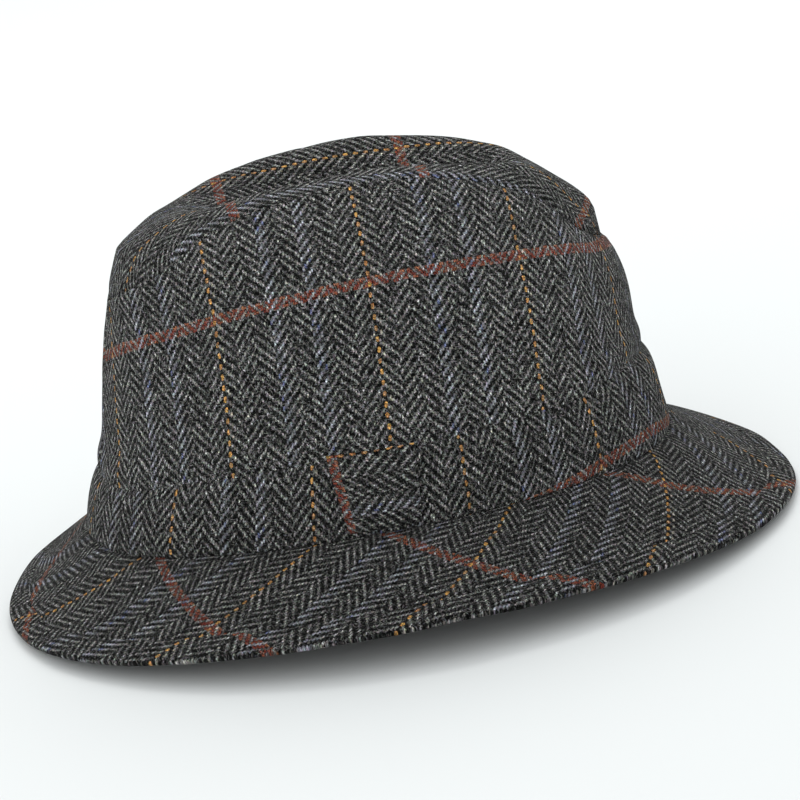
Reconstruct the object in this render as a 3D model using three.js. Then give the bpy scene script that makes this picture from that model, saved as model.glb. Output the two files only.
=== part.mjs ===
// A soft trilby of woven wool, cut and sewn. The crown's side is two half panels joined at the front
// and at the back, its top is an oval tip with a long centre dent, a band of the same cloth goes round
// its base under a flat tab, and the brim turns down all round with one stitched groove near its edge.
//
// Millimetres, +Z up. The front of the hat points to -Y and the wearer's left to +X. The hat stands on
// the edge of its brim at z = 0, with the middle of its footprint on the Z axis.

import * as THREE from 'three';

// Crown, measured outside the cloth
const crownHalfLength = 103.8;
const crownHalfWidth = 83.1;
const crownRise = 107.4;
const crownWall = 2.0;
const baseDipFront = 5.7;
const baseDipBack = 6.0;
const backFullness = 0.03;

// Tip, the oval piece on top, measured at the crown's shoulder
const tipHalfWidth = 40.0;
const tipFront = 77.6;
const tipBack = 93.5;
const tipLean = 1.5;
const domeRise = 13.5;
const dentDepth = 22.0;
const dentReach = 0.78;

// Band round the base of the crown, with its top at this height over the base at the side
const bandHeight = 26.0;
const bandWall = 1.6;
const bandPuff = 0.9;

// Tab over the band, wider at its top
const tabHeight = 27.0;
const tabTopWidth = 30.5;
const tabFootWidth = 24.5;
const tabForward = 10.0;
const tabWall = 1.5;

// Brim, from the line where it leaves the band
const brimFront = 43.2;
const brimSide = 46.0;
const brimBack = 50.7;
const brimWall = 3.0;
const brimAngleFront = 37.5;
const brimAngleSide = 27.2;
const brimAngleBack = 33.0;
const curlAngleFront = -15.0;
const curlAngleSide = 0.0;
const curlAngleBack = -18.0;
const grooveInset = 9.8;
const grooveWidth = 2.6;
const grooveDepth = 0.8;

// Clear space between pieces that are sewn together
const sewnGap = 0.3;

// How finely the pieces are faceted
const columns = 60;
const bandRows = 3;
const tabRows = 5;
const tabColumns = 6;
const sideRows = 7;
const tipRings = 10;
const tipRingSpread = 0.85;
const brimTurns = [0, 0.12, 0.4];
const brimEdgeRows = 4;
const nudge = 1e-3;

const halfTurn = Math.PI;
const fullTurn = 2 * Math.PI;
const degrees = fullTurn / 360;

// The crown's side from its base to its shoulder. Each row is a level: the share of the rise, and the
// share of the way in from the base's reach to the shoulder's, at the front, the side and the back.
const crownSections = [
  { rise: 0.00, front: 0.00, side: 0.000, back: 0.00 },
  { rise: 0.25, front: 0.28, side: 0.067, back: 0.20 },
  { rise: 0.50, front: 0.47, side: 0.193, back: 0.40 },
  { rise: 0.75, front: 0.68, side: 0.425, back: 0.47 },
  { rise: 0.90, front: 0.84, side: 0.712, back: 0.70 },
  { rise: 1.00, front: 1.00, side: 1.000, back: 1.00 },
];

// The tip round from the front, by turn in degrees: the height of the shoulder as a share of the
// crown's rise, the level of the tip's seam, which comes down over the shoulder at the front, and the
// shares of the full dome and of the full dent across the hat at that place.
const tipSections = [
  { turn: 0, shoulder: 0.823, seam: 0.862, dome: 0.00, dent: 0.00 },
  { turn: 30, shoulder: 0.858, seam: 0.924, dome: 0.38, dent: 0.00 },
  { turn: 45, shoulder: 0.900, seam: 0.976, dome: 0.50, dent: 0.12 },
  { turn: 60, shoulder: 0.950, seam: 1.000, dome: 0.42, dent: 0.60 },
  { turn: 75, shoulder: 0.983, seam: 1.000, dome: 0.26, dent: 0.95 },
  { turn: 90, shoulder: 0.992, seam: 1.000, dome: 0.21, dent: 1.00 },
  { turn: 105, shoulder: 0.965, seam: 1.000, dome: 0.27, dent: 0.98 },
  { turn: 120, shoulder: 0.900, seam: 1.000, dome: 0.52, dent: 0.75 },
  { turn: 135, shoulder: 0.800, seam: 1.000, dome: 0.84, dent: 0.24 },
  { turn: 150, shoulder: 0.663, seam: 1.000, dome: 0.98, dent: 0.00 },
  { turn: 165, shoulder: 0.600, seam: 1.000, dome: 0.84, dent: 0.00 },
  { turn: 180, shoulder: 0.586, seam: 1.000, dome: 0.00, dent: 0.00 },
];

// Height of the band's top edge round from the front, by turn in degrees, as a share of its height.
const bandSections = [
  { turn: 0, top: 0.50 },
  { turn: 20, top: 0.58 },
  { turn: 32, top: 0.67 },
  { turn: 45, top: 0.82 },
  { turn: 60, top: 0.95 },
  { turn: 75, top: 0.96 },
  { turn: 110, top: 1.00 },
  { turn: 130, top: 0.96 },
  { turn: 150, top: 0.96 },
  { turn: 165, top: 0.87 },
  { turn: 180, top: 0.82 },
];

// Smooth value of one column of a table, where key names the column that orders its rows.
function readTable(table, key, column, at) {
  const last = table.length - 1;
  let row = 0;
  while (row < last - 1 && at > table[row + 1][key]) {
    row += 1;
  }
  const slope = (k) => {
    const before = table[Math.max(k - 1, 0)];
    const after = table[Math.min(k + 1, last)];
    return (after[column] - before[column]) / (after[key] - before[key]);
  };
  const span = table[row + 1][key] - table[row][key];
  const s = THREE.MathUtils.clamp((at - table[row][key]) / span, 0, 1);
  const from = table[row][column];
  const to = table[row + 1][column];
  const rest = 1 - s;
  return from * (1 + 2 * s) * rest * rest + to * s * s * (3 - 2 * s)
    + span * (slope(row) * s * rest * rest - slope(row + 1) * s * s * rest);
}

// Turn from the front in degrees, 0 to 180 on either side.
function turnOf(angle) {
  return Math.acos(THREE.MathUtils.clamp(Math.cos(angle), -1, 1)) / degrees;
}

// A value given at the front, the side and the back, blended round the hat.
function aroundHat(angle, front, side, back) {
  const c = Math.cos(angle);
  const end = c > 0 ? front : back;
  return side + (end - side) * c * c;
}

function baseHeight(angle) {
  return -aroundHat(angle, baseDipFront, 0, baseDipBack);
}

// A point on the outside of the crown's side, level 0 at the base and 1 at the shoulder.
function crownPoint(angle, level) {
  const share = (column) => readTable(crownSections, 'rise', column, level);
  const front = crownHalfLength + (tipFront - crownHalfLength) * share('front');
  const side = crownHalfWidth + (tipHalfWidth - crownHalfWidth) * share('side');
  const back = crownHalfLength + (tipBack - crownHalfLength) * share('back');
  const middle = level * (tipBack - tipFront) / 2;
  const c = Math.cos(angle);
  const reach = c > 0 ? front + middle : back - middle;
  const x = side * Math.sin(angle) * (1 - backFullness * c);
  const base = baseHeight(angle);
  const shoulder = readTable(tipSections, 'turn', 'shoulder', turnOf(angle)) * crownRise;
  const lean = tipLean * Math.sin(angle) * level;
  return new THREE.Vector3(x, middle - reach * c, base + (shoulder - base) * level + lean);
}

// A point on top of the crown, where share is 0 in the middle and 1 at the shoulder.
function topPoint(angle, share) {
  const middle = (tipBack - tipFront) / 2;
  const edge = crownPoint(angle, 1);
  const x = edge.x * share;
  const y = middle + (edge.y - middle) * share;
  const along = THREE.MathUtils.clamp((middle - y) / ((tipBack + tipFront) / 2), -1, 1);
  const turn = Math.acos(along) / degrees;
  const read = (column) => readTable(tipSections, 'turn', column, turn);
  const oval = Math.sqrt(Math.max(1 - along * along, nudge ** 2));
  const halfWidth = tipHalfWidth * oval * (1 - backFullness * along);
  const across = Math.min(Math.abs(x) / halfWidth, 1);
  const dome = domeRise * read('dome') * (1 - across ** 4);
  const hollow = Math.max(1 - (across / dentReach) ** 2, 0) ** 2;
  const dent = dentDepth * read('dent') * hollow;
  const lean = tipLean * x / tipHalfWidth;
  return new THREE.Vector3(x, y, read('shoulder') * crownRise + dome - dent + lean);
}

// Level of the tip's seam on the crown's side.
function seamLevel(angle) {
  return Math.min(readTable(tipSections, 'turn', 'seam', turnOf(angle)), 1);
}

// A point on the outside of the tip, where share is 0 in the middle and 1 at its seam. It runs out
// over the top of the crown and then down its side.
function tipPoint(angle, share) {
  const middle = topPoint(0, 0);
  const shoulder = crownPoint(angle, 1);
  const across = Math.hypot(shoulder.x - middle.x, shoulder.y - middle.y);
  const down = (1 - seamLevel(angle)) * shoulder.z;
  const walked = share * (across + down);
  if (walked <= across) {
    return topPoint(angle, walked / across);
  }
  return crownPoint(angle, 1 - (walked - across) / shoulder.z);
}

// The outward normal of a surface given as a function of angle and a second value.
function normalOf(surface, angle, value) {
  const alongAngle = surface(angle + nudge, value).sub(surface(angle - nudge, value));
  const alongValue = surface(angle, value + nudge).sub(surface(angle, value - nudge));
  return alongAngle.cross(alongValue).normalize();
}

function crownNormal(angle, level) {
  return normalOf(crownPoint, angle, THREE.MathUtils.clamp(level, 2 * nudge, 1 - 2 * nudge));
}

function tipNormal(angle, share) {
  return normalOf(tipPoint, angle, THREE.MathUtils.clamp(share, 20 * nudge, 1 - 2 * nudge)).negate();
}

// The direction in which both cloths turn in at the tip's seam.
function seamNormal(angle) {
  return crownNormal(angle, seamLevel(angle)).add(tipNormal(angle, 1)).normalize();
}

// Level of the crown's side at a height over its base at the side.
function levelAt(angle, height) {
  const foot = baseHeight(angle);
  const top = crownPoint(angle, 1).z;
  return (height - foot) / (top - foot);
}

// Heights of the band's rows of points at an angle, from its foot to its top edge.
function bandHeights(angle) {
  const foot = baseHeight(angle);
  const top = bandHeight * readTable(bandSections, 'turn', 'top', turnOf(angle));
  return Array.from({ length: bandRows + 1 }, (_, r) => foot + (top - foot) * r / bandRows);
}

// One closed body from loops of points, one loop for each column. When the loops don't close round
// the hat, each end is shut by pairing the loop's outer points with its inner ones.
function bodyFromLoops(loops, closed) {
  const count = loops[0].length;
  const positions = [];
  const index = [];
  loops.flat().forEach((point) => positions.push(point.x, point.y, point.z));
  const steps = closed ? loops.length : loops.length - 1;
  for (let c = 0; c < steps; c += 1) {
    const here = c * count;
    const next = ((c + 1) % loops.length) * count;
    for (let k = 0; k < count; k += 1) {
      const after = (k + 1) % count;
      index.push(here + k, next + k, next + after);
      index.push(here + k, next + after, here + after);
    }
  }
  if (!closed) {
    const last = (loops.length - 1) * count;
    for (let k = 0; k < count / 2 - 1; k += 1) {
      const pair = count - 1 - k;
      index.push(k, k + 1, pair - 1, k, pair - 1, pair);
      index.push(last + k, last + pair - 1, last + k + 1, last + k, last + pair, last + pair - 1);
    }
  }
  const geometry = new THREE.BufferGeometry();
  geometry.setAttribute('position', new THREE.Float32BufferAttribute(positions, 3));
  geometry.setIndex(index);
  geometry.computeVertexNormals();
  return geometry;
}

function piece(name, geometry, material) {
  const mesh = new THREE.Mesh(geometry, material);
  mesh.name = name;
  return mesh;
}

const tweed = (color) => new THREE.MeshStandardMaterial({ color, roughness: 0.95, metalness: 0 });

// Angles of the shared columns, so that facets of touching pieces lie in step.
const columnAngle = (c) => c * fullTurn / columns;

// Half panel of the crown's side. On the wearer's left sign is 1, on the right it is -1.
function sidePanel(sign) {
  const loops = [];
  const half = columns / 2;
  for (let c = 0; c <= half; c += 1) {
    const angle = sign > 0 ? columnAngle(c) : columnAngle(c + half);
    const levels = bandHeights(angle).map((height) => levelAt(angle, height));
    const foot = levels[bandRows];
    for (let r = 1; r <= sideRows; r += 1) {
      levels.push(foot + (seamLevel(angle) - foot) * r / sideRows);
    }
    const outer = levels.map((level) => crownPoint(angle, level));
    const inner = levels.map((level, r) => {
      return outer[r].clone().addScaledVector(crownNormal(angle, level), -crownWall);
    });
    const top = levels.length - 1;
    const down = outer[top - 1].clone().sub(outer[top]).setLength(sewnGap / 2);
    inner[0].z = outer[0].z;
    inner[top] = outer[top].clone().addScaledVector(seamNormal(angle), -crownWall);
    outer[top].add(down);
    inner[top].add(down);
    const loop = [...outer, ...inner.reverse()];
    if (c === 0 || c === half) {
      loop.forEach((point) => { point.x = sign * sewnGap / 2; });
    }
    loops.push(loop);
  }
  return bodyFromLoops(loops, false);
}

// Tip of the crown: an outer and an inner skin of rings about a middle point each.
function tipGeometry() {
  const positions = [];
  const index = [];
  const put = (point) => positions.push(point.x, point.y, point.z) / 3 - 1;
  const skin = (depth) => {
    const rings = [];
    for (let r = 0; r < tipRings; r += 1) {
      const share = (1 - r / tipRings) ** tipRingSpread;
      const ring = [];
      for (let c = 0; c < columns; c += 1) {
        const angle = columnAngle(c);
        const point = tipPoint(angle, share);
        if (r === 0) {
          const inward = tipPoint(angle, 1 - 1 / tipRings).sub(point).setLength(sewnGap / 2);
          point.addScaledVector(seamNormal(angle), -depth).add(inward);
        } else {
          point.addScaledVector(tipNormal(angle, share), -depth);
        }
        ring.push(put(point));
      }
      rings.push(ring);
    }
    const middle = tipPoint(0, 0);
    middle.z -= depth;
    return { rings, middle: put(middle) };
  };
  const outer = skin(0);
  const inner = skin(crownWall);
  const quad = (a, b, c, d) => index.push(a, b, c, a, c, d);
  for (let c = 0; c < columns; c += 1) {
    const next = (c + 1) % columns;
    for (let r = 0; r < tipRings - 1; r += 1) {
      quad(outer.rings[r][c], outer.rings[r][next], outer.rings[r + 1][next], outer.rings[r + 1][c]);
      quad(inner.rings[r][next], inner.rings[r][c], inner.rings[r + 1][c], inner.rings[r + 1][next]);
    }
    const last = tipRings - 1;
    index.push(outer.rings[last][c], outer.rings[last][next], outer.middle);
    index.push(inner.rings[last][next], inner.rings[last][c], inner.middle);
    quad(outer.rings[0][next], outer.rings[0][c], inner.rings[0][c], inner.rings[0][next]);
  }
  const geometry = new THREE.BufferGeometry();
  geometry.setAttribute('position', new THREE.Float32BufferAttribute(positions, 3));
  geometry.setIndex(index);
  geometry.computeVertexNormals();
  return geometry;
}

// A point of the band at a height, where depth 0 is its outside and 1 its inside.
function bandPoint(angle, height, depth) {
  const level = levelAt(angle, height);
  const foot = baseHeight(angle);
  const share = THREE.MathUtils.clamp((height - foot) / (bandHeight - foot), 0, 1);
  const out = sewnGap + bandWall * (1 - depth) + bandPuff * Math.sin(halfTurn * share);
  const point = crownPoint(angle, level).addScaledVector(crownNormal(angle, level), out);
  point.z = height;
  return point;
}

function bandFoot(angle) {
  return bandPoint(angle, baseHeight(angle), 0);
}

function bandGeometry() {
  const loops = [];
  for (let c = 0; c < columns; c += 1) {
    const angle = columnAngle(c);
    const heights = bandHeights(angle);
    const outer = heights.map((height) => bandPoint(angle, height, 0));
    const inner = heights.map((height) => bandPoint(angle, height, 1));
    loops.push([...outer, ...inner.reverse()]);
  }
  return bodyFromLoops(loops, true);
}

// A point over the band where its columns are facets, so that the tab lies on them. Share runs from
// the front end of the tab to its back end.
function tabPoint(share, height, out) {
  const rise = height / tabHeight;
  const width = tabFootWidth + (tabTopWidth - tabFootWidth) * rise;
  const y = -tabForward + width * (share - 0.5);
  const over = (angle) => {
    const normal = crownNormal(angle, levelAt(angle, height));
    const puffed = Math.min(height, bandHeight);
    const foot = bandPoint(angle, puffed, 0);
    foot.z = height;
    return foot.addScaledVector(normal, out);
  };
  let column = Math.floor(columns / 4) - 1;
  while (over(columnAngle(column)).y > y) {
    column -= 1;
  }
  while (over(columnAngle(column + 1)).y < y) {
    column += 1;
  }
  const from = over(columnAngle(column));
  const to = over(columnAngle(column + 1));
  return from.lerp(to, (y - from.y) / (to.y - from.y));
}

// Flat tab over the band on the wearer's left.
function tabGeometry() {
  const heights = Array.from({ length: tabRows + 1 }, (_, r) => tabHeight * r / tabRows);
  const loops = [];
  for (let c = 0; c <= tabColumns; c += 1) {
    const share = c / tabColumns;
    const outer = heights.map((height) => tabPoint(share, height, sewnGap + tabWall));
    const inner = heights.map((height) => tabPoint(share, height, sewnGap));
    loops.push([...outer, ...inner.reverse()]);
  }
  return bodyFromLoops(loops, false);
}

// A point of the brim's upper face. Reach 0 is the foot of the band and 1 the edge, and a point
// below 0 lies on the ledge under the crown and the band, that many millimetres in.
function brimPoint(angle, reach, depth) {
  const foot = bandFoot(angle);
  const ahead = bandFoot(angle + nudge).sub(bandFoot(angle - nudge));
  const outward = new THREE.Vector3(ahead.y, -ahead.x, 0).normalize();
  const level = baseHeight(angle) - sewnGap;
  if (reach < 0) {
    const ledge = foot.addScaledVector(outward, reach);
    ledge.z = level - depth;
    return ledge;
  }
  const width = aroundHat(angle, brimFront, brimSide, brimBack);
  const slope = aroundHat(angle, brimAngleFront, brimAngleSide, brimAngleBack);
  const curl = aroundHat(angle, curlAngleFront, curlAngleSide, curlAngleBack);
  const pitch = (slope + curl * (reach - 1) / 2) * degrees;
  const turned = (slope + curl * (reach - 0.5)) * degrees;
  const point = foot.addScaledVector(outward, width * reach * Math.cos(pitch));
  point.addScaledVector(outward, -depth * Math.sin(turned));
  point.z = level - width * reach * Math.sin(pitch) - depth * Math.cos(turned);
  return point;
}

function brimGeometry() {
  const ledge = -(bandWall + sewnGap + crownWall);
  const loops = [];
  for (let c = 0; c < columns; c += 1) {
    const angle = columnAngle(c);
    const width = aroundHat(angle, brimFront, brimSide, brimBack);
    const shareFromEdge = (distance) => 1 - distance / width;
    const groove = shareFromEdge(grooveInset);
    const lip = grooveWidth / 2 / width;
    const radius = brimWall / 2;
    const upper = [
      brimPoint(angle, ledge, 0),
      ...brimTurns.map((reach) => brimPoint(angle, reach, 0)),
      brimPoint(angle, groove - lip, 0),
      brimPoint(angle, groove, grooveDepth),
      brimPoint(angle, groove + lip, 0),
    ];
    const edge = [];
    for (let r = 0; r <= brimEdgeRows; r += 1) {
      const round = halfTurn * (0.5 - r / brimEdgeRows);
      const reach = shareFromEdge(radius * (1 - Math.cos(round)));
      edge.push(brimPoint(angle, reach, radius * (1 - Math.sin(round))));
    }
    const under = [
      ...brimTurns.slice(1).reverse().map((reach) => brimPoint(angle, reach, brimWall)),
      brimPoint(angle, ledge, brimWall),
    ];
    loops.push([...upper, ...edge, ...under].reverse());
  }
  return bodyFromLoops(loops, true);
}

const trilby = new THREE.Group();
const hat = new THREE.Group();
hat.add(piece('crown_side_left', sidePanel(1), tweed(0x4a4c4e)));
hat.add(piece('crown_side_right', sidePanel(-1), tweed(0x4a4c4e)));
hat.add(piece('crown_tip', tipGeometry(), tweed(0x505254)));
hat.add(piece('hat_band', bandGeometry(), tweed(0x424446)));
hat.add(piece('band_tab', tabGeometry(), tweed(0x46484a)));
hat.add(piece('brim', brimGeometry(), tweed(0x46484a)));

// The hat is lifted onto its brim edge and its footprint is centred.
const footprint = new THREE.Box3().setFromObject(hat);
const middle = footprint.getCenter(new THREE.Vector3());
hat.position.set(-middle.x, -middle.y, -footprint.min.z);
trilby.add(hat);

export default trilby;
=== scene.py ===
# %% [markdown]
# # A soft trilby of herringbone wool
#
# The hat is cut and sewn from one woven cloth: two half panels go round the crown, an oval tip closes
# it, a band of the same cloth hides the joint with the brim, a flat tab lies over the band, and the
# brim is cut on the bias so that it can lie in a smooth ring. Every piece here is a sheet whose points
# know where they lie on the hat and which threads of the cloth run through them, because on a tweed
# the weave is most of what the eye sees.

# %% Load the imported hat
import math

import bmesh
import bpy
import numpy as np
from mathutils import Matrix, Vector, noise


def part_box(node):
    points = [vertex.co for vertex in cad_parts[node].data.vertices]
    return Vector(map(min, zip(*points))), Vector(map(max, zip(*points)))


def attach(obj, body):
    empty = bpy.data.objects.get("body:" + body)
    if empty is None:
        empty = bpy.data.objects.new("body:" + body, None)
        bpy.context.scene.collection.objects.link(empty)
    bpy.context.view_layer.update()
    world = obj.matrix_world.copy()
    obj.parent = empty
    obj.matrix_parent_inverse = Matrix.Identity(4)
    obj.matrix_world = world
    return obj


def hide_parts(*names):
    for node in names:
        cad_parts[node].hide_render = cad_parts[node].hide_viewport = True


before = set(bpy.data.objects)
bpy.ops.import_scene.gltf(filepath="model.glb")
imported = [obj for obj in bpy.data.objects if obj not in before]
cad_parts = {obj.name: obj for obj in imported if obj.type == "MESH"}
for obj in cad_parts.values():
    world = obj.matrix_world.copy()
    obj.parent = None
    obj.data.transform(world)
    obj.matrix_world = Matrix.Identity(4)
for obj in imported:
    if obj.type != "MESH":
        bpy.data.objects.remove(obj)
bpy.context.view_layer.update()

# %% [markdown]
# ## The block
#
# A hatter shapes the crown over a wooden block and the brim over a flange. The same shapes are given
# here as a few tables: how far the side leans in at each level, how high the shoulder stands at each
# turn from the front, where the tip's seam crosses the side, and how the top swells and dents. Smooth
# curves through a few measured sizes are easier to correct than a heap of points.

# %% Sizes in millimetres
MM = 0.001
HALF_LENGTH, HALF_WIDTH, CROWN_RISE = 103.8, 83.1, 107.4
DIP_FRONT, DIP_BACK, BACK_FULLNESS = 5.7, 6.0, 0.03
TIP_WIDTH, TIP_FRONT, TIP_BACK, TIP_LEAN = 40.0, 77.6, 93.5, 1.5
MIDDLE, HALF_TOP = (TIP_BACK - TIP_FRONT) / 2, (TIP_BACK + TIP_FRONT) / 2
DOME_RISE, DENT_DEPTH, DENT_REACH = 13.5, 22.0, 0.78
WALL, BAND_WALL, BAND_HEIGHT, BAND_PUFF = 2.0, 1.6, 26.0, 1.1
SEWN_GAP, SEAM_DEPTH, SEAM_WIDTH = 0.3, 0.7, 1.3

# level, then the share of the way in at the front, the side and the back
CROWN = np.array([
    (0.00, 0.00, 0.000, 0.00), (0.25, 0.28, 0.067, 0.20), (0.50, 0.47, 0.193, 0.40),
    (0.75, 0.68, 0.425, 0.47), (0.90, 0.84, 0.712, 0.70), (1.00, 1.00, 1.000, 1.00)])
# turn from the front in degrees, then the shoulder's height, the level of the tip's seam, dome and dent
TIP = np.array([
    (0, 0.823, 0.862, 0.00, 0.00), (30, 0.858, 0.924, 0.38, 0.00), (45, 0.900, 0.976, 0.50, 0.12),
    (60, 0.950, 1, 0.42, 0.60), (75, 0.983, 1, 0.26, 0.95), (90, 0.992, 1, 0.21, 1.00),
    (105, 0.965, 1, 0.27, 0.98), (120, 0.900, 1, 0.52, 0.75), (135, 0.800, 1, 0.84, 0.24),
    (150, 0.663, 1, 0.98, 0.00), (165, 0.600, 1, 0.84, 0.00), (180, 0.586, 1, 0.00, 0.00)])
# turn, then the height of the band's top edge
BAND = np.array([(0, 0.50), (20, 0.58), (32, 0.67), (45, 0.82), (60, 0.95), (75, 0.96),
                 (110, 1.00), (130, 0.96), (150, 0.96), (165, 0.87), (180, 0.82)])

lowest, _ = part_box("crown_side_left")
LIFT = lowest[2] / MM + DIP_BACK
SLIDE = lowest[1] / MM + HALF_LENGTH
print("crown base stands at", round(LIFT, 2), "mm and its middle at", round(SLIDE, 2), "mm")


# %% Smooth curves through the tables
def read(table, column, at):
    """Value of a column where the first column is at, on a smooth curve through its rows."""
    x, y = table[:, 0], table[:, column]
    row = np.clip(np.searchsorted(x, at) - 1, 0, len(x) - 2)
    before, after = np.maximum(row - 1, 0), np.minimum(row + 2, len(x) - 1)
    rise_here = (y[row + 1] - y[before]) / (x[row + 1] - x[before])
    rise_next = (y[after] - y[row]) / (x[after] - x[row])
    span = x[row + 1] - x[row]
    s = np.clip((at - x[row]) / span, 0, 1)
    rest = 1 - s
    ends = y[row] * (1 + 2 * s) * rest ** 2 + y[row + 1] * s ** 2 * (3 - 2 * s)
    return ends + span * (rise_here * s * rest ** 2 - rise_next * s ** 2 * rest)


def turn_of(angle):
    """Degrees from the front, the same on both sides of the hat."""
    return np.degrees(np.arccos(np.clip(np.cos(angle), -1, 1)))


def around(angle, front, side, back):
    """A size that is given at the front, the side and the back, blended round the hat."""
    c = np.cos(angle)
    return side + (np.where(c > 0, front, back) - side) * c * c


def base_height(angle):
    """Height of the crown's base, which dips at the front and the back."""
    return -around(angle, DIP_FRONT, 0, DIP_BACK)


def crown_point(angle, level):
    """A point on the crown's side: angle from the front, level 0 at the base and 1 at the shoulder."""
    front = HALF_LENGTH + (TIP_FRONT - HALF_LENGTH) * read(CROWN, 1, level)
    side = HALF_WIDTH + (TIP_WIDTH - HALF_WIDTH) * read(CROWN, 2, level)
    back = HALF_LENGTH + (TIP_BACK - HALF_LENGTH) * read(CROWN, 3, level)
    middle = level * MIDDLE
    c = np.cos(angle)
    reach = np.where(c > 0, front + middle, back - middle)
    x = side * np.sin(angle) * (1 - BACK_FULLNESS * c)
    base = base_height(angle)
    rise = read(TIP, 1, turn_of(angle)) * CROWN_RISE - base
    return np.stack([x, middle - reach * c, base + (rise + TIP_LEAN * np.sin(angle)) * level], -1)


def top_point(angle, share):
    """A point on top of the crown: share 0 in the middle and 1 at the shoulder."""
    edge = crown_point(angle, np.ones_like(angle))
    x, y = edge[:, 0] * share, MIDDLE + (edge[:, 1] - MIDDLE) * share
    along = np.clip((MIDDLE - y) / HALF_TOP, -1, 1)
    turn = np.degrees(np.arccos(along))
    half = TIP_WIDTH * np.sqrt(np.maximum(1 - along ** 2, 1e-6)) * (1 - BACK_FULLNESS * along)
    across = np.minimum(np.abs(x) / half, 1)
    dome = DOME_RISE * read(TIP, 3, turn) * (1 - across ** 4)
    dent = DENT_DEPTH * read(TIP, 4, turn) * np.maximum(1 - (across / DENT_REACH) ** 2, 0) ** 2
    z = read(TIP, 1, turn) * CROWN_RISE + dome - dent + TIP_LEAN * x / TIP_WIDTH
    return np.stack([x, y, z], -1)


def seam_level(angle):
    """Level of the tip's seam, which comes down over the shoulder at the front."""
    return np.minimum(read(TIP, 2, turn_of(angle)), 1)


def tip_walk(angle, share):
    """Share of the way over the top, millimetres down the side, and the whole way to the seam."""
    shoulder = crown_point(angle, np.ones_like(angle))
    over = np.hypot(shoulder[:, 0], shoulder[:, 1] - MIDDLE)
    whole = over + (1 - seam_level(angle)) * shoulder[:, 2]
    walked = share * whole
    return np.minimum(walked / over, 1), np.maximum(walked - over, 0), whole


def tip_point(angle, share):
    """A point on the tip: share 0 in the middle and 1 at its seam."""
    top, down, _ = tip_walk(angle, share)
    height = crown_point(angle, np.ones_like(angle))[:, 2]
    return np.where((down > 0)[:, None], crown_point(angle, 1 - down / height), top_point(angle, top))


def outward(surface, angle, value):
    """Unit normal of a surface that is given as a function of angle and a second value."""
    step = 1e-3
    value = np.clip(value, 2 * step, 1 - 2 * step)
    a = surface(angle + step, value) - surface(angle - step, value)
    b = surface(angle, value + step) - surface(angle, value - step)
    n = np.cross(a, b)
    return n / np.maximum(np.linalg.norm(n, axis=1, keepdims=True), 1e-9)


side_top = crown_point(np.array([math.pi / 2]), np.array([1.0]))[0]
print("the shoulder at the side stands", round(float(side_top[2]), 1), "mm over the base")

# %% [markdown]
# ## Cloth in the hand
#
# Two things help with every piece. A tape measure runs over the smooth shape, so that the threads
# keep their real spacing on it. And soft noise gives each piece the small hollows and swellings that
# steamed wool keeps. Each piece is a flat grid that is bent into shape, because then every corner of
# it knows its place on the hat and its place in the cloth.

# %% Tape measure, sheet and unevenness
INSIDE = 30.0


def tape(place, rows, columns):
    """Lengths over a surface along each of its two directions, as tables over the unit square."""
    p, q = np.meshgrid(np.linspace(0, 1, rows), np.linspace(0, 1, columns), indexing="ij")
    points = place(p.ravel(), q.ravel()).reshape(rows, columns, 3)
    steps_p = np.linalg.norm(np.diff(points, axis=0, prepend=points[:1]), axis=2)
    steps_q = np.linalg.norm(np.diff(points, axis=1, prepend=points[:, :1]), axis=2)
    return np.cumsum(steps_p, axis=0), np.cumsum(steps_q, axis=1)


def lookup(table, p, q):
    """Length from the tape measure at a place in the unit square."""
    rows, columns = table.shape
    a, b = np.clip(p, 0, 1) * (rows - 1), np.clip(q, 0, 1) * (columns - 1)
    i, j = np.minimum(a.astype(int), rows - 2), np.minimum(b.astype(int), columns - 2)
    s, t = a - i, b - j
    low = table[i, j] * (1 - s) + table[i + 1, j] * s
    high = table[i, j + 1] * (1 - s) + table[i + 1, j + 1] * s
    return low * (1 - t) + high * t


def uneven(points, size, height, seed):
    """Soft hollows and swellings of about this size and height, in millimetres."""
    shift = Vector((seed * 3.7, seed * 1.9, seed * 7.3))
    return height * np.array([noise.noise(Vector(p) / size + shift) for p in points])


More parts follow.
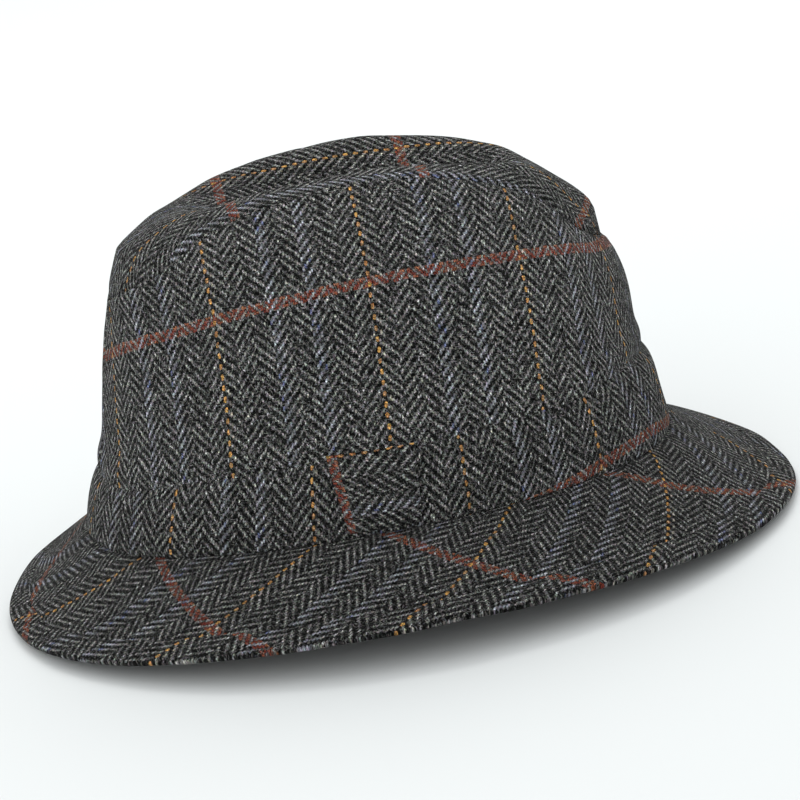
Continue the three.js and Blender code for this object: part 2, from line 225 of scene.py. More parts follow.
def sheet(name, across, along, place, threads, wall=0.0, closed=False):
    """A grid laid over a shape. place gives its points and threads its place in the cloth, both in mm.
    The two values of a point run from 0 to 1, and threads also gets the middle of the face it is for."""
    bm = bmesh.new()
    bmesh.ops.create_grid(bm, x_segments=across, y_segments=along, size=0.5)
    bm.verts.ensure_lookup_table()
    flat = np.array([v.co[:2] for v in bm.verts]) + 0.5
    corners = np.array([[v.index for v in face.verts] for face in bm.faces])
    middles = flat[corners].mean(axis=1)
    own = np.repeat(middles, 4, axis=0)
    at = flat[corners.ravel()]
    cloth = threads(at[:, 0], at[:, 1], own[:, 0], own[:, 1]).reshape(-1, 4, 2)
    layer = bm.loops.layers.uv.new("cloth")
    for face, values in zip(bm.faces, cloth):
        face.smooth = True
        for loop, value in zip(face.loops, values):
            loop[layer].uv = value
    points = place(flat[:, 0], flat[:, 1]) + np.array([0, SLIDE, LIFT])
    for vert, point in zip(bm.verts, points):
        vert.co = point * MM
    bmesh.ops.remove_doubles(bm, verts=bm.verts, dist=1e-5)
    bm.normal_update()
    if closed:
        bmesh.ops.recalc_face_normals(bm, faces=bm.faces)
    else:
        # an open sheet faces away from a place inside the crown
        heart = Vector((0, SLIDE, LIFT + INSIDE)) * MM
        facing = sum(f.normal.dot(f.calc_center_median() - heart) for f in bm.faces)
        if facing < 0:
            bmesh.ops.reverse_faces(bm, faces=bm.faces)
    mesh = bpy.data.meshes.new(name)
    bm.to_mesh(mesh)
    bm.free()
    piece = bpy.data.objects.new(name, mesh)
    bpy.context.collection.objects.link(piece)
    if wall:
        thick = piece.modifiers.new("wall", "SOLIDIFY")
        thick.thickness, thick.offset, thick.use_even_offset = wall * MM, -1, True
    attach(piece, "root")
    print(name, "has", len(mesh.polygons), "faces")
    return piece


# %% [markdown]
# ## The cloth
#
# The cloth is a herringbone twill: each thread passes over two and under two, one step along at every
# pick, and the steps turn round every eighth end, so columns of slanting lines lean against each
# other. Light mixed yarns run up and dark ones across. One column in eight starts with an orange end
# and a cream one, two of the columns between are half pale with a rare blue fleck, and a few rust-red
# picks cross the cloth at wide steps. It is drawn thread by thread from two numbers, the end and the
# pick, because a printed texture would not follow the cut of each piece.

# %% A small helper for shader maths
REPEAT_ENDS, REPEAT_PICKS, COLUMN = 64, 72, 8
END, PICK = 53.3 / REPEAT_ENDS, 67.0 / REPEAT_PICKS
# places in the repeat, in mm, that the thread maps aim at the coloured lines
ORANGE_AT, RED_AT = END / 2, 1.4


class Strand:
    """A socket in a node tree that can be used in Python sums."""

    def __init__(self, tree, socket=None):
        self.tree, self.socket = tree, socket

    def node(self, kind, settings=None, inputs=None, output=0):
        """Adds a node: its settings first, then the values or links of its sockets."""
        made = self.tree.nodes.new(kind)
        for key, value in (settings or {}).items():
            setattr(made, key, value)
        for key, value in (inputs or {}).items():
            if isinstance(value, Strand):
                self.tree.links.new(value.socket, made.inputs[key])
            else:
                made.inputs[key].default_value = value
        return Strand(self.tree, made.outputs[output] if made.outputs else None)

    def math(self, operation, *values):
        return self.node("ShaderNodeMath", {"operation": operation}, dict(enumerate(values)))

    def __add__(self, other):
        return self.math("ADD", self, other)

    def __radd__(self, other):
        return self.math("ADD", other, self)

    def __sub__(self, other):
        return self.math("SUBTRACT", self, other)

    def __rsub__(self, other):
        return self.math("SUBTRACT", other, self)

    def __mul__(self, other):
        return self.math("MULTIPLY", self, other)

    def __rmul__(self, other):
        return self.math("MULTIPLY", other, self)

    def __truediv__(self, other):
        return self.math("DIVIDE", self, other)

    def __mod__(self, other):
        return self.math("FLOORED_MODULO", self, other)

    def __pow__(self, other):
        return self.math("POWER", self, other)

    def __lt__(self, other):
        return self.math("LESS_THAN", self, other)

    def __gt__(self, other):
        return self.math("GREATER_THAN", self, other)

    def floor(self):
        return self.math("FLOOR", self)

    def sine(self):
        return self.math("SINE", self)

    def clip(self):
        return self.math("MAXIMUM", self, 0.0)

    def between(self, low, high):
        """1 where the whole number lies from low up to high, 0 elsewhere."""
        return (self > low - 0.5) * (self < high + 0.5)

    def spread(self, low, high):
        """0 up to low, 1 from high on, and a straight ramp between them."""
        return self.node("ShaderNodeMapRange", inputs={0: self, 1: low, 2: high})

    def mix(self, nothing, all_of_it):
        """Blends two numbers by this value."""
        return self.node("ShaderNodeMix", {"data_type": "FLOAT"}, {0: self, 2: nothing, 3: all_of_it})

    def pick(self, nothing, all_of_it):
        """Blends two colours by this value."""
        return self.node("ShaderNodeMix", {"data_type": "RGBA"}, {0: self, 6: nothing, 7: all_of_it}, 2)

    def tint(self, color):
        """A colour as light as this value."""
        parts = {k: self * part for k, part in enumerate(color)}
        return self.node("ShaderNodeCombineColor", inputs=parts)

    def times(self, other):
        """This colour times a number or another colour."""
        if isinstance(other, Strand) and other.socket.type == "VALUE" or isinstance(other, float):
            return self.node("ShaderNodeVectorMath", {"operation": "SCALE"}, {0: self, "Scale": other})
        return self.node("ShaderNodeVectorMath", {"operation": "MULTIPLY"}, {0: self, 1: other})

    def parts(self, vector, count):
        """The first numbers of a vector."""
        split = self.node("ShaderNodeSeparateXYZ", inputs={0: vector}).socket.node
        return [Strand(self.tree, split.outputs[k]) for k in range(count)]

    def xyz(self, x, y, z):
        """A vector of three numbers."""
        return self.node("ShaderNodeCombineXYZ", inputs={0: x, 1: y, 2: z})

    def grain(self, vector, scale, detail=2.0, output=0):
        """Soft noise, as a number or as a colour."""
        return self.node("ShaderNodeTexNoise", {"noise_dimensions": "3D"},
                         {"Vector": vector, "Scale": scale, "Detail": detail}, output)

    def chance(self, x, y, z):
        """A number from 0 to 1 of its own for each whole x and y."""
        place = self.xyz(x, y, z)
        return self.node("ShaderNodeTexWhiteNoise", {"noise_dimensions": "3D"}, {"Vector": place})


# %% The tweed
CREAM_END, PALE_ENDS, PALE_COUNT, RED_PICKS = 2, (24, 40), 4, 4
# how far threads wander over long and short ways, in mm, and the scales of that noise
SWAY, SHAKE_ENDS, SHAKE_PICKS, SWAY_SCALE, SHAKE_SCALE = 1.1, 0.55, 0.7, 0.13, 1.5
# floats are narrower than their thread's room, and the dark yarn lies lower than the light one
FLOAT_NARROW, DARK_LOWER, ORANGE_NARROW, ORANGE_SHORT = 1.9, 0.8, 1.4, 0.93
# a turn of the loose hairs in radians and a place of its own in the noise, for three lots of them
HAIR_LOTS = ((0.5, 1.0), (-0.7, 5.0), (1.35, 9.0))
# noise scales across and along, and the noise from which each starts to show and shows in full
HAIR_ACROSS, HAIR_ALONG, HAIR_SHOWS = 2.4, 0.45, (0.58, 0.73)
FIBRE_ACROSS, FIBRE_ALONG, FIBRE_LEAN, FIBRE_SHOWS = 2.3, 1.2, 0.3, (0.36, 0.64)
FUZZ_ACROSS, FUZZ_ALONG, FUZZ_SHOWS = 2.9, 2.1, (0.40, 0.62)
SPECK_SCALE, BLUE_FROM = 1.3, 0.93
# what hairs and fibres add to the relief, and its full height in metres
HAIR_RELIEF, FIBRE_RELIEF, RELIEF = 0.35, 0.25, 0.0004
LIGHT_YARN, DARK_YARN = (1.0, 1.0, 0.96), (0.95, 1.0, 0.95)
PALE_YARN, BLUE_FLECK, CREAM_YARN = (0.93, 0.96, 1.06), (0.65, 0.76, 1.3), (1.1, 1.04, 0.88)
RUST_YARN = (0.13, 0.028, 0.020, 1), (0.26, 0.10, 0.050, 1)
MUSTARD_YARN = (0.50, 0.24, 0.070, 1), (0.64, 0.35, 0.10, 1)
GREY_HAIR, RED_HAIR = (1.0, 1.0, 0.97), (1.5, 0.6, 0.45)
MID_GREY, HUE_SHARE = (0.5, 0.5, 0.5, 1), 0.3


def tweed(name, painted_shade_factor):
    """Herringbone wool from the piece's own thread map, all yarns made darker or lighter by a factor of
    painted shade for the shade that falls on the piece.
    """
    material = bpy.data.materials.new(name)
    material.use_nodes = True
    tree = material.node_tree
    tree.nodes.clear()
    on = Strand(tree)
    cloth = on.node("ShaderNodeUVMap", {"uv_map": "cloth"})
    ends, picks = on.parts(cloth, 2)
    # threads wander a little over long ways and shake over short ones
    sway_u, sway_v = on.parts(on.grain(cloth, SWAY_SCALE, 2.0, "Color"), 2)
    shake_u, shake_v = on.parts(on.grain(cloth, SHAKE_SCALE, 1.0, "Color"), 2)
    u = ends + (sway_u - 0.5) * SWAY + (shake_u - 0.5) * SHAKE_ENDS
    v = picks + (sway_v - 0.5) * SWAY + (shake_v - 0.5) * SHAKE_PICKS
    # which end and which pick this is, and how far across each
    e, p = u / END, v / PICK
    end, row = e.floor(), p.floor()
    in_end, in_pick = e - end, p - row
    # the twill steps up in even columns and down in odd ones, over two and under two
    column = (end / COLUMN).floor()
    odd = column % 2.0
    local = end - column * COLUMN
    step = local + odd * (COLUMN + 1 - 2 * local)
    phase = (step + row) % 4.0
    warp = phase < 1.5
    # how far along its float each thread is, and how round it stands there
    along_warp = (phase + in_pick) / 2
    along_weft = (phase - 2 + odd + in_end * (1 - 2 * odd)) / 2
    across_warp = in_end - 0.5 + (along_warp - 0.5) * (1 - 2 * odd) * 0.5
    round_warp = (1 - (across_warp * FLOAT_NARROW) ** 2.0).clip() * (along_warp * math.pi).sine()
    round_weft = (in_pick * math.pi).sine() * (0.4 + 0.6 * (along_weft * math.pi).sine())
    height = warp.mix(round_weft * DARK_LOWER, round_warp)
    # the orange end is thicker than the rest, so its floats swell over their neighbours
    beside, along_orange = (e + 1) % REPEAT_ENDS - 1.5, p % 4.0 - 1
    orange = 1 - (beside * ORANGE_NARROW) ** 2.0 - (along_orange * ORANGE_SHORT) ** 4.0
    orange = orange.spread(0.0, 0.5)
    # loose hairs lie in three directions over the threads, and fuzz blurs them
    hairs = None
    for turn, seed in HAIR_LOTS:
        c, s = math.cos(turn), math.sin(turn)
        place = on.xyz((u * c + v * s) * HAIR_ACROSS, (v * c - u * s) * HAIR_ALONG, seed)
        strand = on.grain(place, 1.0, 1.0)
        hairs = strand if hairs is None else hairs.math("MAXIMUM", hairs, strand)
    hair = hairs.spread(*HAIR_SHOWS)
    place = on.xyz((u + v * FIBRE_LEAN) * FIBRE_ACROSS, v * FIBRE_ALONG, 3.0)
    fibre = on.grain(place, 1.0, 2.0).spread(*FIBRE_SHOWS)
    place = on.xyz(u * FUZZ_ACROSS, v * FUZZ_ALONG, 23.0)
    fuzz = on.grain(place, 1.0, 1.0).spread(*FUZZ_SHOWS)
    # each float has its own lightness: up to about a half for light yarn, almost black for dark
    turn_of_float = ((row + step) / 4).floor()
    fleck = on.chance(end, turn_of_float, 3.0)
    dull = on.chance(row, turn_of_float, 9.0)
    rough = (0.15 + 1.7 * fibre) * (0.35 + 1.3 * fuzz)
    # each float is painted darker towards its edges and ends by its roundness: painted shade where it
    # dips between its neighbours
    light = (0.06 + 0.40 * fleck) * rough * (0.15 + 0.85 * round_warp)
    dark = (0.003 + 0.022 * dull) * rough * (0.3 + 0.7 * round_weft)
    repeat = end % REPEAT_ENDS
    near_pale, far_pale = (repeat.between(first, first + PALE_COUNT - 1) for first in PALE_ENDS)
    pale = near_pale + far_pale
    up = light.tint(LIGHT_YARN)
    up = pale.pick(up, (light * 1.25 + 0.07).tint(PALE_YARN))
    up = (pale * (fleck > BLUE_FROM)).pick(up, (light * 0.6 + 0.02).tint(BLUE_FLECK))
    up = repeat.between(CREAM_END, CREAM_END).pick(up, (light * 1.3 + 0.04).tint(CREAM_YARN))
    down = dark.tint(DARK_YARN)
    red = (row % REPEAT_PICKS).between(0, RED_PICKS - 1)
    down = red.pick(down, dull.pick(*RUST_YARN).times(rough))
    color = warp.pick(down, up)
    luck = on.chance((p / 4).floor(), column, 5.0)
    mustard = luck.pick(*MUSTARD_YARN)
    color = (orange * (0.65 + 0.35 * luck)).pick(color, mustard.times(0.25 + 0.75 * rough))
    # hairs of the nap, reddish where the red picks lie under them
    veil = (0.03 + 0.36 * hair) * painted_shade_factor
    hair_color = (red * 0.5).pick(veil.tint(GREY_HAIR), veil.tint(RED_HAIR))
    nap = (hair * (0.7 - 0.4 * orange)).pick(color, hair_color)
    # mixed yarn holds a little of every hue
    speck = on.grain(on.xyz(u * SPECK_SCALE, v * SPECK_SCALE, 17.0), 1.0, 1.0, "Color")
    hue = on.node("ShaderNodeMix", {"data_type": "RGBA"}, {0: HUE_SHARE, 6: MID_GREY, 7: speck}, 2)
    color = nap.times(hue).times(2.0 * painted_shade_factor)
    relief = height + hair * HAIR_RELIEF + fibre * FIBRE_RELIEF
    bump = on.node("ShaderNodeBump", inputs={"Strength": 1.0, "Distance": RELIEF, "Height": relief})
    surface = on.node("ShaderNodeBsdfPrincipled", inputs={
        "Base Color": color, "Normal": bump, "Roughness": 0.95, "Specular IOR Level": 0.03,
        "Sheen Weight": 0.02, "Sheen Roughness": 0.5, "Sheen Tint": (0.8, 0.8, 0.8, 1)})
    on.node("ShaderNodeOutputMaterial", inputs={0: surface})
    print(name, "uses", len(tree.nodes), "nodes")
    return material


# the band and the brim get darker copies of the same cloth: painted shade for the shade that falls on
# them below the crown
crown_cloth = tweed("crown_cloth", 1.0)
band_cloth = tweed("band_cloth", 0.88)
brim_cloth = tweed("brim_cloth", 0.78)

# %% [markdown]
# ## The crown's side
#
# Each half panel goes from the seam at the centre front to the seam at the centre back. Its grain runs
# up the side of the head, and towards both seams the cloth lines drop a little, because the flat
# panel has curved edges. Along each seam the two cloths turn in together and leave a fine valley, with
# small puckers along the tip's seam, and just over the band the cloth swells out a little.

# %% Half panels
CROWDING, CALM_BY_SEAM = 1.35, 7
PUCKER_HEIGHT, PUCKER_LENGTH, PUCKER_REACH = 0.12, 1.3, 4
SWELL_HEIGHT, SWELL_OVER_BAND = 1.1, 4.5
# the cloth at the middle of the side, and how it gathers towards the back
SIDE_START, SIDE_RATE, GATHER_FROM, GATHER = 5, 0.96, 75, 0.01
# how the lines drop towards both seams, and how high the red one stands
LINE_DROP, RED_HEIGHT = 0.0012, 82.4


def hill(distance, width):
    """1 at no distance, falling softly to nothing."""
    return np.exp(-(distance / width) ** 2)


def panel_level(angle, q):
    """Level of a row of the panel, the rows lying closer towards the tip's seam."""
    return seam_level(angle) * (1 - (1 - q) ** CROWDING)


def side_panel(sign):
    def shape(p, q):
        return crown_point(sign * math.pi * p, q)

    lengths, rises = tape(shape, rows=161, columns=61)

    def place(p, q):
        angle = sign * math.pi * p
        level = panel_level(angle, q)
        points = crown_point(angle, level)
        normal = outward(crown_point, angle, level)
        from_tip = lookup(rises, p, seam_level(angle)) - lookup(rises, p, level)
        here = lookup(lengths, p, level)
        from_seam = np.minimum(here, lookup(lengths, np.ones_like(p), level) - here)
        relief = -SEAM_DEPTH * hill(from_tip, SEAM_WIDTH) - SEAM_DEPTH * hill(from_seam, SEAM_WIDTH)
        soft = uneven(points, size=34, height=1.1, seed=1 + sign)
        soft = soft + uneven(points, size=13, height=0.4, seed=5 + sign)
        relief += soft * np.clip(np.minimum(from_tip, from_seam) / CALM_BY_SEAM, 0, 1)
        relief += PUCKER_HEIGHT * np.sin(here / PUCKER_LENGTH) * np.exp(-from_tip / PUCKER_REACH)
        over_band = points[:, 2] - BAND_HEIGHT * read(BAND, 1, turn_of(angle))
        relief += SWELL_HEIGHT * hill(over_band - SWELL_OVER_BAND, SWELL_OVER_BAND)
        points = points + normal * relief[:, None]
        # both ends stay on the hat's middle plane, where the two panels meet
        points[:, 0] = np.where((p < 1e-6) | (p > 1 - 1e-6), 0, points[:, 0])
        return points

    def threads(p, q, own_p, own_q):
        level = panel_level(math.pi * p, q)
        s = lookup(lengths, p, level) - lookup(lengths, np.full_like(p, 0.5), level)
        u = SIDE_START + SIDE_RATE * s + GATHER * np.maximum(s - GATHER_FROM, 0) ** 2
        v = lookup(rises, p, level) + LINE_DROP * s ** 2 - RED_HEIGHT + RED_AT
        return np.stack([u, v], -1)

    side = "left" if sign > 0 else "right"
    name = "crown_side_" + side + "_cloth"
    panel = sheet(name, across=150, along=110, place=place, threads=threads, wall=WALL)
    panel.data.materials.append(crown_cloth)
    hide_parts("crown_side_" + side)


side_panel(1)
side_panel(-1)

# %% [markdown]
# ## The tip
#
# The tip is one oval with its grain running from front to back. A square grid is pushed out to a disc
# and then to the oval, which leaves no pole in the middle. The long dent is part of its height. At the
# front the oval goes on over the shoulder, so its rim lies on the side's shape and meets the panels.


# %% Oval tip
def disc(p, q):
    """Angle from the front and share of the way out, for a square pushed out to a disc."""
    a, b = 2 * p - 1, 2 * q - 1
    x, y = a * np.sqrt(1 - b * b / 2), b * np.sqrt(1 - a * a / 2)
    return np.arctan2(x, -y), np.minimum(np.hypot(x, y), 1)


def tip_height(x, y):
    """Height of the tip over a place in plan, found from its angle and share."""
    angle = np.arctan2(x / TIP_WIDTH, -(y - MIDDLE) / HALF_TOP)
    edge = crown_point(angle, np.ones_like(angle))
    share = np.hypot(x, y - MIDDLE) / np.hypot(edge[:, 0], edge[:, 1] - MIDDLE)
    return top_point(angle, np.minimum(share, 1))[:, 2]


# a rectangle in plan that holds the whole tip, for the tape measure
PLAN_WIDTH, PLAN_FRONT, PLAN_LENGTH = 90.0, -84.0, 184.0
CALM_BY_TIP_SEAM, LEAST_SHARE = 6, 0.03


def tip_plan(p, q):
    x, y = PLAN_WIDTH * (p - 0.5), PLAN_FRONT + PLAN_LENGTH * q
    return np.stack([x, y, tip_height(x, y)], -1)


tip_across, tip_along = tape(tip_plan, rows=120, columns=120)


def tip_place(p, q):
    angle, share = disc(p, q)
    points = tip_point(angle, share)
    normal = -outward(tip_point, angle, np.maximum(share, LEAST_SHARE))
    from_seam = (1 - share) * tip_walk(angle, share)[2]
    relief = -SEAM_DEPTH * hill(from_seam, SEAM_WIDTH)
    soft = uneven(points, size=30, height=1.3, seed=11) + uneven(points, size=12, height=0.5, seed=13)
    relief += soft * np.minimum(from_seam / CALM_BY_TIP_SEAM, 1)
    return points + normal * relief[:, None]


# place along the hat, then places across it of the far orange end and of the near pale ends
LINES = np.array([
    (-75, -15.0, 26.5), (-60, -16.0, 27.0), (-40, -19.5, 30.5), (-20, -22.0, 33.0),
    (10, -23.0, 38.0), (45, -22.0, 36.0), (67, -19.0, 30.0), (90, -14.0, 22.0)])
# the cloth between those two lines, and where the first red pick crosses the middle
BETWEEN_LINES, FRONT_PICK = 75.0, -37.3


def tip_threads(p, q, own_p, own_q):
    angle, share = disc(p, q)
    top, down, _ = tip_walk(angle, share)
    points = top_point(angle, top)
    a, b = points[:, 0] / PLAN_WIDTH + 0.5, (points[:, 1] - PLAN_FRONT) / PLAN_LENGTH
    far, near = (lookup(tip_across, read(LINES, k, points[:, 1]) / PLAN_WIDTH + 0.5, b) for k in (1, 2))
    scale = BETWEEN_LINES / (near - far)
    u = (lookup(tip_across, a, b) - far + down * np.sin(angle)) * scale
    start = (FRONT_PICK - PLAN_FRONT) / PLAN_LENGTH
    v = lookup(tip_along, a, b) - lookup(tip_along, a, np.full_like(b, start)) - down * np.cos(angle)
    return np.stack([u + ORANGE_AT, v + RED_AT], -1)


tip = sheet("crown_tip_cloth", across=120, along=120, place=tip_place, threads=tip_threads, wall=WALL)
tip.data.materials.append(crown_cloth)
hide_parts("crown_tip")

# %% [markdown]
# ## The band
#
# The band is a strip with both edges turned in. It stands a little proud of the crown, swells between
# its seams and is pulled in along its top edge. Its cross section is drawn once as a flat loop and
# taken round the hat.

# %% Strip round the base
BAND_OVERHANG = 1.5
FULL_FROM, FULL_SPAN, FULL_BEND = 0.12, 0.88, 0.8
THIN, THIN_FROM, THIN_SPAN = 0.45, 0.7, 0.3
PULL, PULL_FROM, PULL_SPAN = 1.2, 0.82, 0.18
LOOP_POINTS, BLUNT_UP, BLUNT_OUT = 49, 0.55, 0.35
# a line along the strip for the tape measure: its height, and how far it stands off
LINE_HEIGHT, LINE_OFF = 12.0, 2.2
# where the strip starts in the cloth, its rate on the photographed side and beyond it
BAND_START, BAND_RATE, BAND_NEAR, FAR_RATE = 33.5, 1.017, 150, 0.947
# the red line runs under the strip's foot and climbs over it only towards the back
RED_UNDER, RED_CLIMB, CLIMB_AT, CLIMB_WIDTH = 5, 10.5, 97, 52


def level_at(angle, height):
    """Level of the crown's side at a height over the middle of its base."""
    top = crown_point(angle, np.ones_like(angle))[:, 2]
    return (height - base_height(angle)) / (top - base_height(angle))


def band_surface(angle, height, out):
    """A point at a height over the base, that far out from the crown's side."""
    level = level_at(angle, height)
    points = crown_point(angle, level) + outward(crown_point, angle, level) * np.reshape(out, (-1, 1))
    points[:, 2] = height
    return points


def stand_off(up, out):
    """How far the band stands off the crown: full between its seams, pulled in along its top edge."""
    full = BAND_PUFF * np.sin(math.pi * (FULL_FROM + FULL_SPAN * up) ** FULL_BEND)
    thin = 1 - THIN * np.clip((up - THIN_FROM) / THIN_SPAN, 0, 1) ** 2
    pulled = PULL * np.clip((up - PULL_FROM) / PULL_SPAN, 0, 1) ** 2
    return SEWN_GAP + (BAND_WALL * out + full) * thin - pulled


# the cross section is a circle with blunted corners: share of the way up, share of the way out
band_loop = np.linspace(0, 2 * math.pi, LOOP_POINTS)
band_up = 0.5 - 0.5 * np.sign(np.cos(band_loop)) * np.abs(np.cos(band_loop)) ** BLUNT_UP
band_out = 0.5 + 0.5 * np.sign(np.sin(band_loop)) * np.abs(np.sin(band_loop)) ** BLUNT_OUT


def band_section(p, q):
    """Angle from the front, starting on the far side, and the shares up and out of the section."""
    t, steps = q * (LOOP_POINTS - 1), range(LOOP_POINTS)
    return 2 * math.pi * p - math.pi / 2, np.interp(t, steps, band_up), np.interp(t, steps, band_out)


def band_place(p, q):
    angle, up, out = band_section(p, q)
    foot = base_height(angle) - BAND_OVERHANG
    top = BAND_HEIGHT * read(BAND, 1, turn_of(angle))
    height = foot + (top - foot) * up
    points = band_surface(angle, height, stand_off(up, out))
    soft = uneven(points, size=22, height=0.8, seed=21) * np.sin(math.pi * up) ** 0.5
    return points + outward(crown_point, angle, level_at(angle, height)) * soft[:, None]


def band_line(p, q):
    angle = band_section(p, q)[0]
    return band_surface(angle, np.full_like(p, LINE_HEIGHT), np.full_like(p, LINE_OFF))


band_lengths, _ = tape(band_line, rows=361, columns=2)


def band_threads(p, q, own_p, own_q):
    angle, up, _ = band_section(p, q)
    foot = base_height(angle)
    top = BAND_HEIGHT * read(BAND, 1, turn_of(angle))
    s = lookup(band_lengths, p, 0 * p) - lookup(band_lengths, np.full_like(p, 0.5), 0 * p)
    near = np.clip(s, -BAND_NEAR, BAND_NEAR)
    u = (near + BAND_START) * BAND_RATE + (s - near) * FAR_RATE
    v = (top - foot) * up + RED_UNDER - RED_CLIMB * hill(s - CLIMB_AT, CLIMB_WIDTH) + RED_AT
    return np.stack([u + ORANGE_AT, v], -1)


band = sheet("hat_band_cloth", across=300, along=LOOP_POINTS - 1, place=band_place,
             threads=band_threads, closed=True)
band.data.materials.append(band_cloth)
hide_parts("hat_band")

# %% [markdown]
# ## The tab
#
# A short flat piece of the same cloth, turned a quarter turn, lies over the band where its ends meet.
# It is a little wider at the top, and its edges are turned under, so they are thick and soft.

# %% Tab over the band
TAB_HEIGHT, TAB_TOP, TAB_FOOT, TAB_FORWARD, TAB_WALL = 27.0, 30.5, 24.5, 10.0, 1.5
# the turned edge: how far it goes in, how thin it starts, and the small roll where it ends
TURN_IN, EDGE_SHARE, ROLL, ROLL_WIDTH = 2.2, 0.25, 0.3, 1.4
TAB_ABOVE_BRIM, TAB_WIDE, TAB_ORANGE, TAB_RED = 0.3, 27, 0.3, 0.4
SEARCHES, SIDE_RADIUS = 8, 85


def tab_place(p, q):
    height = TAB_ABOVE_BRIM + (TAB_HEIGHT - TAB_ABOVE_BRIM) * q
    y = -TAB_FORWARD + (TAB_FOOT + (TAB_TOP - TAB_FOOT) * q) * (p - 0.5)
    # the angle at which the crown's side has that y is found in a few steps
    angle = np.full_like(p, math.pi / 2)
    for _ in range(SEARCHES):
        here = band_surface(angle, height, LINE_OFF + 0 * p)[:, 1]
        angle = angle + (y - here) / SIDE_RADIUS
    up = np.clip(height / BAND_HEIGHT, 0, 1)
    lift = SEWN_GAP + stand_off(up, 1)
    edge = np.minimum(np.minimum(p, 1 - p) * TAB_WIDE, np.minimum(q, 1 - q) * TAB_HEIGHT)
    rounded = np.sqrt(1 - (1 - np.clip(edge / TURN_IN, 0, 1)) ** 2)
    thick = TAB_WALL * (EDGE_SHARE + (1 - EDGE_SHARE) * rounded)
    thick += ROLL * hill(edge - TURN_IN, ROLL_WIDTH)
    points = band_surface(angle, height, lift + thick)
    soft = uneven(points, size=11, height=0.5, seed=31)
    return points + outward(crown_point, angle, level_at(angle, height)) * soft[:, None]


def tab_threads(p, q, own_p, own_q):
    u = TAB_HEIGHT * (q - 1) + ORANGE_AT + TAB_ORANGE
    return np.stack([u, (TAB_TOP + TAB_FOOT) / 2 * p + TAB_RED], -1)


tab = sheet("band_tab_cloth", across=44, along=40, place=tab_place, threads=tab_threads, wall=TAB_WALL)
tab.data.materials.append(band_cloth)
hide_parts("band_tab")

# %% [markdown]
# ## The brim
#
# The brim is cut on the bias: its threads run at half a right angle to its edge, because a bias strip
# can be steamed into a ring. It slopes down all round, most at the front and the back, dips a little
# where the band stands on it, and ends in a soft rolled edge. One row of stitches about ten
# millimetres in from the edge sinks a groove into both faces, and beyond it the cloth's lines are out
# of step. Its cross section is a loop too, from the ledge under the band over the top, round the edge
# and back below.

# %% Brim from its cross section
BRIM_FRONT, BRIM_SIDE, BRIM_BACK, BRIM_WALL = 43.2, 46.0, 50.7, 3.0
SLOPES, CURLS = (37.5, 27.2, 33.0), (-15.0, 0.0, -18.0)
GROOVE, GROOVE_WIDTH, GROOVE_DEPTH = 9.8, 0.9, 0.4
LEDGE, RIM, TABLE_CLEARANCE = BAND_WALL + SEWN_GAP + WALL, 15.0, 0.02
STITCHES, STITCH_SHARE, PUFF, PUFF_WIDTH = 260, 0.25, 0.25, 3
CREASE, CREASE_WIDTH, CALM_BY_BAND = 1.3, 2.8, 12
# threads along the ring, out from the crown, at the start, and their jump beyond the groove
BRIM_ENDS = 0.78, 0.728, 79.5, 3.3
BRIM_PICKS = 0.793, -0.787, 76.1, -4.2
# where the ring's tape starts, as a share of the way round from the back
BRIM_START = 0.75


def foot_ring(angle):
    """The line where the band stands on the brim, and the way out from the crown there."""
    foot = band_surface(angle, base_height(angle), SEWN_GAP + BAND_WALL + 0 * angle)
    step = 1e-3
    ahead = crown_point(angle + step, 0 * angle) - crown_point(angle - step, 0 * angle)
    out = np.stack([ahead[:, 1], -ahead[:, 0], 0 * angle], -1)
    return foot, out / np.linalg.norm(out, axis=1, keepdims=True)


def brim_surface(angle, distance, depth):
    """A point that far out from the band's foot over the brim's upper face, and that deep under it."""
    foot, out = foot_ring(angle)
    width = around(angle, BRIM_FRONT, BRIM_SIDE, BRIM_BACK)
    reach = np.maximum(distance, 0) / width
    # the brim bends on its way out, so its pitch is the mean slope of the way so far
    slope, curl = around(angle, *SLOPES), around(angle, *CURLS)
    pitch = np.radians(slope + curl * (reach - 1) / 2)
    turned = np.radians(slope + curl * (reach - 0.5)) * (distance > 0)
    run = np.where(distance > 0, width * reach * np.cos(pitch), distance) - depth * np.sin(turned)
    points = foot + out * run[:, None]
    points[:, 2] = base_height(angle) - SEWN_GAP - width * reach * np.sin(pitch) - depth * np.cos(turned)
    return points


# places of the loop: millimetres out, share of the brim's width apart from its rim, and depth
inner = np.concatenate([np.linspace(0, 0.08, 5), np.linspace(0.12, 1, 17)])
outer = np.linspace(0.6, RIM - BRIM_WALL / 2, 24)
nose = np.radians(np.linspace(75, -75, 9))
over = [(-LEDGE, 0.0, 0.0)] + [(0, s, 0.0) for s in inner] + [(b, 1, 0.0) for b in outer]
bead = [(RIM - BRIM_WALL / 2 * (1 - math.cos(t)), 1, BRIM_WALL / 2 * (1 - math.sin(t))) for t in nose]
below = [(b, s, BRIM_WALL) for b, s, _ in reversed(over)]
section = np.array(over + bead + below + [over[0]])


def brim_section(angle, q):
    """How far out and how deep a point of the loop lies, and how wide the brim is there."""
    t = q * (len(section) - 1)
    fixed, share, depth = (np.interp(t, range(len(section)), section[:, k]) for k in range(3))
    width = around(angle, BRIM_FRONT, BRIM_SIDE, BRIM_BACK)
    return fixed + share * (width - RIM), depth, width


